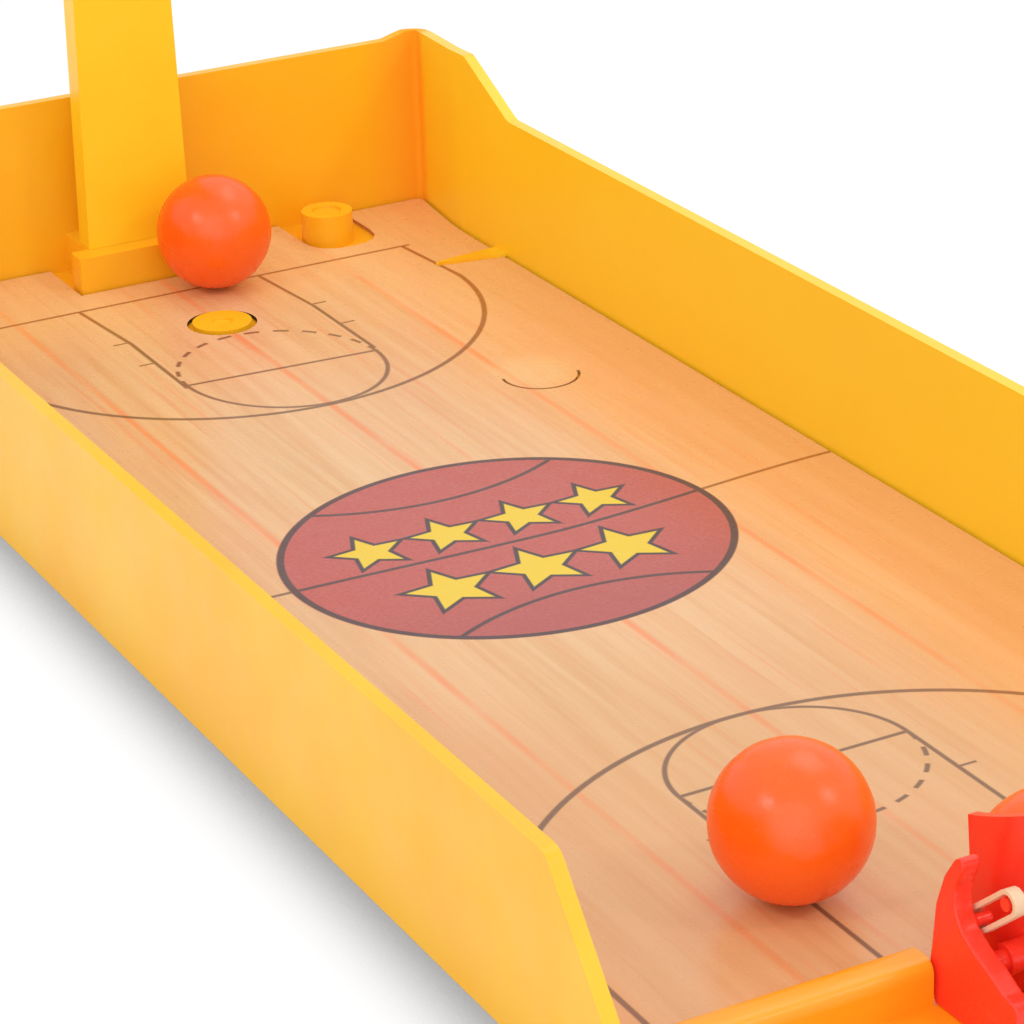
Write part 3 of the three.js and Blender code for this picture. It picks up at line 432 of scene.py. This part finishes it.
def court_material():
    """The printed court card with its wood, lines, roundel and cut edges."""
    g = Graph("court_print")
    x, y, _ = g.axes()
    tone, streak = wood_tone(g, x, y)
    # Painted reflection: the card warmer near the right, left and far walls, as the yellow walls
    # reflect on it
    wall_reflection = g.most(g.span(x, *REFLECTION_RIGHT, True), g.span(x, *REFLECTION_LEFT, True),
                   g.span(y, *REFLECTION_FAR, True))
    # Darker towards the near end
    tone = g.mix(g.span(y, *NEAR_END_DARKER, True), tone, srgb("d89c62"))
    # Painted light: the reflected tone paler at the far end and by the right edge, where the card
    # lies in shade
    warm = g.mix(g.span(y, *PAINTED_LIGHT_FAR, True), srgb("ffaa5c"), srgb("ffce84"))
    warm = g.mix(g.span(x, *PAINTED_LIGHT_RIGHT, True), warm, srgb("ffbe70"))
    tone = g.mix(g.mul(wall_reflection, REFLECTION_SHARE), tone, warm)
    # Painted highlight: the card made paler round the raised lift tab
    tab = g.length(g.sub(x, LIFT_TAB[0]), g.sub(y, LIFT_TAB[1]))
    tone = g.mix(g.span(tab, *LIFT_TAB_PAINTED_LIGHT, True), tone, srgb("eccb92"))
    first, second, third = (g.span(y, *skew) for skew in SKEWS)
    lines = court_lines(g, g.sub(x, g.add(g.add(first, second), third)), y)
    # The lines take the painted reflection too: more orange near the walls
    ink = g.mix(wall_reflection, srgb("6b4a36"), srgb("a2561f"))
    tone = emblem(g, x, y, g.mix(g.mul(lines, INK_SHARE), tone, ink))
    # Card core on the cut edges and the back; round the stud's punched hole it is painted
    # near-black as the shade in the gap
    normal_z = g.split(g.node("ShaderNodeNewGeometry").outputs["Normal"])[2]
    face = g.span(normal_z, 0.4, 0.6)
    fibre = g.mix(g.span(g.noise(4.0, 4.0), 0.3, 0.7), srgb("b07a4c"), srgb("cf9864"))
    hole = g.length(g.sub(x, STUD_HOLE[0]), g.sub(y, STUD_HOLE[1]))
    # Painted shade: near-black core in the gap round the stud
    fibre = g.mix(g.span(hole, *STUD_GAP_PAINTED_SHADE, 1.0, 0.0), fibre, srgb("241a14"))
    rough = g.span(face, 0.0, 1.0, 0.85, g.span(g.noise(0.3, 3.0), 0.3, 0.7, 0.24, 0.34))
    height = g.add(g.mul(g.noise(2.4, 3.0), 0.4), g.mul(streak, 0.25))
    g.principled(Base_Color=g.mix(face, fibre, tone), Roughness=rough, IOR=1.5,
                 Normal=g.bump(height, 0.006))
    return g.material


# The board's printed sheet: half sizes, its middle and the height of the target square, the
# border's two sides from the edge, the square's half sizes and line, and the stars
BOARD_HALF_X, BOARD_HALF_Z, BOARD_MIDDLE, TARGET_Z = 42.7, 27.7, 129.0, 134.5
BOARD_BORDER, TARGET_HALF_X, TARGET_HALF_Z, TARGET_LINE = (2.2, 5.0), 15.0, 10.5, 2.0
BOARD_STAR_X, BOARD_STAR, BOARD_SOFT = 29.5, 6.2, 0.08


def board_material():
    """White printed card: a red border, a red target square above the hoop and two stars."""
    g = Graph("board_print")
    x, _, z = g.axes()
    ax = g.abs(x)
    from_target = g.sub(z, TARGET_Z)
    edge = g.least(g.sub(BOARD_HALF_X, ax), g.sub(BOARD_HALF_Z, g.abs(g.sub(z, BOARD_MIDDLE))))
    border = g.within(edge, *BOARD_BORDER, BOARD_SOFT)
    outside = g.most(g.sub(ax, TARGET_HALF_X), g.sub(g.abs(from_target), TARGET_HALF_Z))
    target = g.within(outside, -TARGET_LINE, 0.0, BOARD_SOFT)
    shape = star(g, g.sub(ax, BOARD_STAR_X), from_target, BOARD_STAR)
    paper = g.mix(g.span(g.noise(0.9, 5.0, 0.6), 0.3, 0.7), srgb("e9e6de"), srgb("f3f1ea"))
    red = g.mix(g.span(g.noise(1.4, 4.0, 0.6), 0.35, 0.7), srgb("d2352a"), srgb("de473a"))
    tone = g.mix(g.most(border, target), paper, red)
    tone = g.mix(g.span(shape, *STAR_EDGE, 1.0, 0.0), tone, srgb("e9b92c"))
    rough = g.span(g.noise(0.3, 3.0), 0.3, 0.7, 0.36, 0.48)
    g.principled(Base_Color=tone, Roughness=rough, IOR=1.48,
                 Normal=g.bump(g.noise(2.4, 3.0), 0.02))
    return g.material


def link(name, mesh):
    """A new object in the scene with the given mesh."""
    piece = bpy.data.objects.new(name, mesh)
    bpy.context.scene.collection.objects.link(piece)
    return piece


def finish_piece(piece, node, material, body=None):
    """Gives a piece its material, the body that it rides on and the node it replaces."""
    piece.data.materials.clear()
    piece.data.materials.append(material)
    if body:
        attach(piece, body)
    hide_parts(node)


def apply_modifiers(piece):
    """Puts what the modifiers make of a piece into its mesh."""
    graph = bpy.context.evaluated_depsgraph_get()
    mesh = bpy.data.meshes.new_from_object(piece.evaluated_get(graph))
    old = piece.data
    piece.modifiers.clear()
    piece.data = mesh
    bpy.data.meshes.remove(old)


def forget_shading(mesh):
    """Drops the shading that came with the CAD mesh."""
    for attribute in ("custom_normal", "sharp_edge", "sharp_face"):
        found = mesh.attributes.get(attribute)
        if found:
            mesh.attributes.remove(found)


# Welding distance in millimetres, the share of flat faces in the shading, and angles in degrees:
# facets joined to one flat face, edges shaded sharp, and edges that get rounded
WELD, NORMAL_WEIGHT = 0.004, 60
FLAT_ANGLE, SHARP_ANGLE = 1.0, 32.0
ROUND_ANGLE, BAND_ROUND_ANGLE = 40.0, 30.0


def softened(node, name, width, segments=3, angle=ROUND_ANGLE):
    """The CAD solid's own form with its sharp edges rounded, as a mould leaves them."""
    mesh = nodes[node].data.copy()
    piece = link(name, mesh)
    work = bmesh.new()
    work.from_mesh(mesh)
    bmesh.ops.remove_doubles(work, verts=work.verts, dist=WELD * MM)
    bmesh.ops.dissolve_limit(work, angle_limit=math.radians(FLAT_ANGLE),
                             use_dissolve_boundaries=False, verts=work.verts, edges=work.edges)
    work.to_mesh(mesh)
    work.free()
    forget_shading(mesh)
    bevel = piece.modifiers.new("bevel", "BEVEL")
    bevel.width = width * MM
    bevel.segments = segments
    bevel.limit_method = "ANGLE"
    bevel.angle_limit = math.radians(angle)
    bevel.use_clamp_overlap = True
    bevel.miter_outer = "MITER_ARC"
    bevel.harden_normals = False
    apply_modifiers(piece)
    smooth_by_angle(piece.data, SHARP_ANGLE)
    weighted = piece.modifiers.new("normals", "WEIGHTED_NORMAL")
    weighted.keep_sharp = True
    weighted.weight = NORMAL_WEIGHT
    return piece


def smooth_by_angle(mesh, degrees):
    """Smooth shading, except over edges that turn by more than the angle."""
    work = bmesh.new()
    work.from_mesh(mesh)
    limit = math.radians(degrees)
    for face in work.faces:
        face.smooth = True
    for edge in work.edges:
        edge.smooth = not (edge.is_manifold and edge.calc_face_angle(0.0) > limit)
    work.to_mesh(mesh)
    work.free()


# The rolled skin: voxel in millimetres, smoothing passes and their strength, share of faces kept
SKIN_VOXEL, SKIN_PASSES, SKIN_SMOOTH, SKIN_KEPT_SHARE = 0.16, 9, 0.5, 0.25


def rolled(node, name):
    """The CAD solid's own form with every edge rolled over, as on a small glossy moulding."""
    piece = link(name, nodes[node].data.copy())
    forget_shading(piece.data)
    skin = piece.modifiers.new("skin", "REMESH")
    skin.mode = "VOXEL"
    skin.voxel_size = SKIN_VOXEL * MM
    skin.use_smooth_shade = True
    soft = piece.modifiers.new("soft", "SMOOTH")
    soft.factor = SKIN_SMOOTH
    soft.iterations = SKIN_PASSES
    thin = piece.modifiers.new("thin", "DECIMATE")
    thin.ratio = SKIN_KEPT_SHARE
    apply_modifiers(piece)
    for face in piece.data.polygons:
        face.use_smooth = True
    return piece


# The balls, in millimetres: radius, the skin's margin inside it, mould seam, gate mark, wobble
BALL_RADIUS, BALL_MARGIN, BALL_CUTS = 10.0, 0.05, 6
BALL_SEAM_HALF, BALL_SEAM_RISE = 0.16, 0.03
GATE_X, GATE_SPREAD, GATE_DEPTH = 2.0, 0.5, 0.05
WOBBLE_SCALE, WOBBLE, WOBBLE_STEP = 0.32, 0.055, 7
TILT_AXIS, TILT_START, TILT_STEP = (0.6, 0.5, 0.3), 0.7, 1.9


def build_ball(node, seed):
    """A smooth ball with a faint mould seam, a gate mark and a slight wobble."""
    low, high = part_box(node)
    work = bmesh.new()
    bmesh.ops.create_icosphere(work, subdivisions=BALL_CUTS, radius=BALL_RADIUS * MM)
    tilt = Quaternion(TILT_AXIS, TILT_START + seed * TILT_STEP)
    start = Vector((seed * WOBBLE_STEP, 0, 0))
    for vertex in work.verts:
        p = vertex.co / MM
        q = tilt @ p
        ridge = math.exp(-(q.z / BALL_SEAM_HALF) ** 2) * BALL_SEAM_RISE
        gate = math.exp(-(((q.x - GATE_X) ** 2 + q.y ** 2) / GATE_SPREAD))
        gate *= GATE_DEPTH if q.z > 0 else 0.0
        wobble = noise.noise(Vector(q) * WOBBLE_SCALE + start) * WOBBLE
        vertex.co = p.normalized() * (BALL_RADIUS - BALL_MARGIN + ridge - gate + wobble) * MM
    mesh = bpy.data.meshes.new(node + "_shell")
    work.to_mesh(mesh)
    work.free()
    for face in mesh.polygons:
        face.use_smooth = True
    piece = link(node + "_shell", mesh)
    piece.location = (low + high) / 2
    finish_piece(piece, node, ORANGE, node)


# The tray's yellow takes painted light on its right wall and painted shade on its sill and back
# corners
YELLOW = moulded("yellow_plastic", "ffc422", "ffba18", "ffd050", 0.34, glow=0.06,
                 painted_light_zones=("ffdc2a", "ff9812"))
# Painted light: a lighter copy of the same yellow plastic for the post and board
YELLOW_PAINTED_LIGHTER = moulded("yellow_plastic_painted_lighter", "ffd826", "ffd01e", "ffe25c", 0.34, glow=0.06)
RED = moulded("red_plastic", "ff4028", "fb3420", "ff7058", 0.30, glow=0.08)
ORANGE = moulded("ball_orange", "ff6a16", "fe5e0e", "ff8048", 0.28, ripple=0.03, glow=0.22)
LATEX = moulded("rubber_band", "f0d0ae", "e4bf98", "f8e2c8", 0.55, glow=0.15)
WHITE = moulded("net_plastic", "f1f0ea", "e6e4dc", "fbfaf6", 0.42, glow=0.12)

# The two flat cards keep their CAD solids and take a print
for node, material in (("court_card", court_material()), ("backboard_card", board_material())):
    nodes[node].data.materials.clear()
    nodes[node].data.materials.append(material)

finish_piece(softened("tray", "tray_moulding", 0.55), "tray", YELLOW, "tray")
finish_piece(rolled("launcher_bracket", "launcher_bracket_moulding"), "launcher_bracket", RED,
             "tray")

# Node, width and segments of its edge rounding, material, slot and body
for node, width, segments, material, slot, body in (
        ("launcher_lever", 0.3, 3, RED, "red_plastic", "lever"),
        ("post", 0.4, 3, YELLOW_PAINTED_LIGHTER, "yellow_plastic", "hoop_stand"),
        ("backboard", 0.4, 3, YELLOW_PAINTED_LIGHTER, "yellow_plastic", "hoop_stand"),
        ("hoop_rim", 0.25, 3, RED, "red_plastic", "hoop_stand"),
        ("hoop_net", 0.12, 2, WHITE, "net_plastic", "hoop_stand")):
    piece = softened(node, node + "_moulding", width, segments)
    finish_piece(piece, node, material, body)

for index, name in enumerate(("ball_far", "ball_near", "ball_loaded")):
    build_ball(name, index)

# Each band runs between its peg on the lever and its hook on the bracket, and stays fixed where
# its CAD solid lies
for node in ("return_band_left", "return_band_right"):
    band = softened(node, node + "_loop", 0.2, 2, BAND_ROUND_ANGLE)
    finish_piece(band, node, LATEX)
    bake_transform(band)


# Floor: half size in metres, drop below the part, grey that lights the part, and the soft shadow
# seen round its foot
FLOOR_HALF, FLOOR_DROP = 3.0, 0.05
BOUNCE_GREY, SEEN_GREY, SEEN_GLOW = 0.80, 0.05, 0.97
SHADOW_REACH, SHADOW_SAMPLES, SHADOW_SPAN = 13.0, 6, (0.50, 0.90, 0.30, 1.0)
WHITE_LIGHT = (1.0, 1.0, 1.0, 1.0)
SKY_SOFT, SKY_SEEN = 0.90, 1.0


def stage_material(name):
    """White floor: the eye sees a neutral soft shadow on it, and it still bounces light."""
    g = Graph(name)
    bounce = g.node("ShaderNodeBsdfDiffuse")
    bounce.inputs["Color"].default_value = (BOUNCE_GREY, BOUNCE_GREY, BOUNCE_GREY, 1.0)
    seen_part = g.node("ShaderNodeBsdfDiffuse")
    seen_part.inputs["Color"].default_value = (SEEN_GREY, SEEN_GREY, SEEN_GREY, 1.0)
    hollow = g.node("ShaderNodeAmbientOcclusion", samples=SHADOW_SAMPLES)
    hollow.inputs["Distance"].default_value = SHADOW_REACH * MM
    glow = g.node("ShaderNodeEmission")
    g.put(glow.inputs["Strength"], g.mul(g.span(hollow.outputs["AO"], *SHADOW_SPAN), SEEN_GLOW))
    path = g.node("ShaderNodeLightPath")
    seen = g.most(path.outputs["Is Camera Ray"], path.outputs["Is Glossy Ray"],
                  path.outputs["Is Transmission Ray"])
    total = g.node("ShaderNodeAddShader")
    g.link(seen_part.outputs[0], total.inputs[0])
    g.link(glow.outputs[0], total.inputs[1])
    chosen = g.node("ShaderNodeMixShader")
    g.put(chosen.inputs[0], seen)
    g.link(bounce.outputs[0], chosen.inputs[1])
    g.link(total.outputs[0], chosen.inputs[2])
    g.link(chosen.outputs[0], g.output.inputs["Surface"])
    return g.material


def build_stage():
    half = FLOOR_HALF
    mesh = bpy.data.meshes.new("floor")
    mesh.from_pydata([(-half, -half, 0), (half, -half, 0), (half, half, 0), (-half, half, 0)],
                     [], [(0, 1, 2, 3)])
    floor = link("floor", mesh)
    floor.location.z = -FLOOR_DROP * MM
    mesh.materials.append(stage_material("floor"))


def build_world():
    """Even white light, and plain white where the camera looks past the floor."""
    world = bpy.data.worlds.new("world")
    world.use_nodes = True
    bpy.context.scene.world = world
    tree = world.node_tree
    tree.nodes.clear()
    output = tree.nodes.new("ShaderNodeOutputWorld")
    chosen = tree.nodes.new("ShaderNodeMixShader")
    path = tree.nodes.new("ShaderNodeLightPath")
    tree.links.new(path.outputs["Is Camera Ray"], chosen.inputs[0])
    for index, strength in ((1, SKY_SOFT), (2, SKY_SEEN)):
        sky = tree.nodes.new("ShaderNodeBackground")
        sky.inputs["Color"].default_value = WHITE_LIGHT
        sky.inputs["Strength"].default_value = strength
        tree.links.new(sky.outputs[0], chosen.inputs[index])
    tree.links.new(chosen.outputs[0], output.inputs["Surface"])


def lamp(name, place, size, power):
    """A square lamp that looks at the middle of the tray."""
    data = bpy.data.lights.new(name, "AREA")
    data.shape = "RECTANGLE"
    data.size = data.size_y = size
    data.energy = power
    made = bpy.data.objects.new(name, data)
    bpy.context.scene.collection.objects.link(made)
    made.location = place
    made.rotation_mode = "QUATERNION"
    made.rotation_quaternion = (-Vector(place)).to_track_quat("-Z", "Y")


# Place and size in metres, power in watts
LAMPS = (("key", (0.55, 0.25, 1.1), 0.6, 1.8),
         ("fill", (-0.75, -1.2, 0.75), 1.5, 5.2),
         ("glint_left", (-0.82, -0.22, 0.85), 0.15, 1.15),
         ("glint_right", (0.57, -0.70, 0.80), 0.15, 1.15))

bpy.context.scene.view_settings.view_transform = "Standard"
build_stage()
build_world()
for settings in LAMPS:
    lamp(*settings)

bpy.context.view_layer.update()
